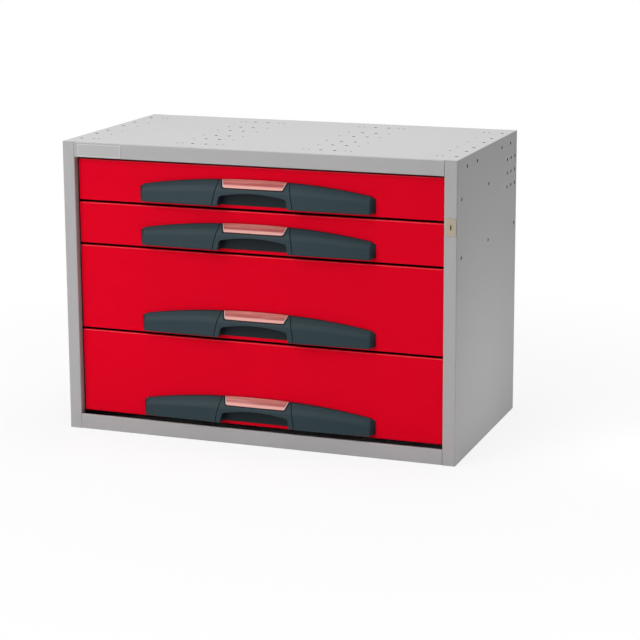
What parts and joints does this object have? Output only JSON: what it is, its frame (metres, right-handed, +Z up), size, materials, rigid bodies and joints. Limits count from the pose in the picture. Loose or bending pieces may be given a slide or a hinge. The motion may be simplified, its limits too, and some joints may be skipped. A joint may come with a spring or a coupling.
{
  "type": "drawer cabinet",
  "caption": "Sheet-steel drawer cabinet module with shallow and deep drawers on telescopic slides, moulded handles with label windows, and one lock for all drawers.",
  "frame": {"origin": "centre of the casing's underside", "axes": "+X to the right seen from the front, -Y the way the drawers pull out, +Z up"},
  "size_m": [0.72, 0.3954, 0.52],
  "materials": {
    "casing_paint": "grey powder coat, satin",
    "front_paint": "red powder coat, satin",
    "tray_paint": "grey powder coat, satin",
    "zinc_steel": "bright zinc plate",
    "handle_plastic": "dark slate grey moulded plastic, fine grain",
    "label_window": "clear plastic over a salmon label strip",
    "lock_brass": "pale brass, satin",
    "name_plate": "bare satin plate"
  },
  "bodies": {
    "casing": {"side_panel_left": "casing_paint", "side_panel_right": "casing_paint", "top_panel": "casing_paint", "bottom_panel": "casing_paint", "back_panel": "casing_paint", "rear_post_left": "zinc_steel", "rear_post_right": "zinc_steel", "name_plate": "name_plate", "lock_case": "lock_brass", "drawer_1_slide_channel_left": "zinc_steel", "drawer_1_slide_channel_right": "zinc_steel", "drawer_2_slide_channel_left": "zinc_steel", "drawer_2_slide_channel_right": "zinc_steel", "drawer_3_slide_channel_left": "zinc_steel", "drawer_3_slide_channel_right": "zinc_steel", "drawer_4_slide_channel_left": "zinc_steel", "drawer_4_slide_channel_right": "zinc_steel"},
    "drawer_1": {"drawer_1_front": "front_paint", "drawer_1_tray": "tray_paint", "drawer_1_slide_inner_left": "zinc_steel", "drawer_1_slide_inner_right": "zinc_steel", "drawer_1_handle_grip": "handle_plastic", "drawer_1_handle_wing_left": "handle_plastic", "drawer_1_handle_wing_right": "handle_plastic", "drawer_1_label_window": "label_window"},
    "slide_1": {"drawer_1_slide_middle_left": "zinc_steel", "drawer_1_slide_middle_right": "zinc_steel"},
    "drawer_2": {"drawer_2_front": "front_paint", "drawer_2_tray": "tray_paint", "drawer_2_slide_inner_left": "zinc_steel", "drawer_2_slide_inner_right": "zinc_steel", "drawer_2_handle_grip": "handle_plastic", "drawer_2_handle_wing_left": "handle_plastic", "drawer_2_handle_wing_right": "handle_plastic", "drawer_2_label_window": "label_window"},
    "slide_2": {"drawer_2_slide_middle_left": "zinc_steel", "drawer_2_slide_middle_right": "zinc_steel"},
    "drawer_3": {"drawer_3_front": "front_paint", "drawer_3_tray": "tray_paint", "drawer_3_slide_inner_left": "zinc_steel", "drawer_3_slide_inner_right": "zinc_steel", "drawer_3_handle_grip": "handle_plastic", "drawer_3_handle_wing_left": "handle_plastic", "drawer_3_handle_wing_right": "handle_plastic", "drawer_3_label_window": "label_window"},
    "slide_3": {"drawer_3_slide_middle_left": "zinc_steel", "drawer_3_slide_middle_right": "zinc_steel"},
    "drawer_4": {"drawer_4_front": "front_paint", "drawer_4_tray": "tray_paint", "drawer_4_slide_inner_left": "zinc_steel", "drawer_4_slide_inner_right": "zinc_steel", "drawer_4_handle_grip": "handle_plastic", "drawer_4_handle_wing_left": "handle_plastic", "drawer_4_handle_wing_right": "handle_plastic", "drawer_4_label_window": "label_window"},
    "slide_4": {"drawer_4_slide_middle_left": "zinc_steel", "drawer_4_slide_middle_right": "zinc_steel"},
    "lock_core": {"lock_plug": "lock_brass", "lock_cam": "zinc_steel"},
    "lock_slider": {"lock_bar": "zinc_steel"}
  },
  "joints": [
    {"name": "drawer_1_pull", "type": "slide", "parent": "casing", "child": "drawer_1", "axis": [0, -1, 0], "range_m": [0, 0.33]},
    {"name": "slide_1_travel", "type": "slide", "parent": "casing", "child": "slide_1", "axis": [0, -1, 0], "range_m": [0, 0.165]},
    {"name": "drawer_2_pull", "type": "slide", "parent": "casing", "child": "drawer_2", "axis": [0, -1, 0], "range_m": [0, 0.33]},
    {"name": "slide_2_travel", "type": "slide", "parent": "casing", "child": "slide_2", "axis": [0, -1, 0], "range_m": [0, 0.165]},
    {"name": "drawer_3_pull", "type": "slide", "parent": "casing", "child": "drawer_3", "axis": [0, -1, 0], "range_m": [0, 0.33]},
    {"name": "slide_3_travel", "type": "slide", "parent": "casing", "child": "slide_3", "axis": [0, -1, 0], "range_m": [0, 0.165]},
    {"name": "drawer_4_pull", "type": "slide", "parent": "casing", "child": "drawer_4", "axis": [0, -1, 0], "range_m": [0, 0.33]},
    {"name": "slide_4_travel", "type": "slide", "parent": "casing", "child": "slide_4", "axis": [0, -1, 0], "range_m": [0, 0.165]},
    {"name": "key_turn", "type": "hinge", "parent": "casing", "child": "lock_core", "pos_m": [0.34975, -0.1925, 0.4085], "axis": [0, 1, 0], "range_deg": [0, 90]},
    {"name": "lock_bar_lift", "type": "slide", "parent": "casing", "child": "lock_slider", "axis": [0, 0, 1], "range_m": [0, 0.008]}
  ],
  "couplings": [
    {"joint": "slide_1_travel", "follows": "drawer_1_pull", "ratio": 0.5},
    {"joint": "slide_2_travel", "follows": "drawer_2_pull", "ratio": 0.5},
    {"joint": "slide_3_travel", "follows": "drawer_3_pull", "ratio": 0.5},
    {"joint": "slide_4_travel", "follows": "drawer_4_pull", "ratio": 0.5},
    {"joint": "key_turn", "follows": "lock_bar_lift", "rad_per_m": 196.3}
  ]
}
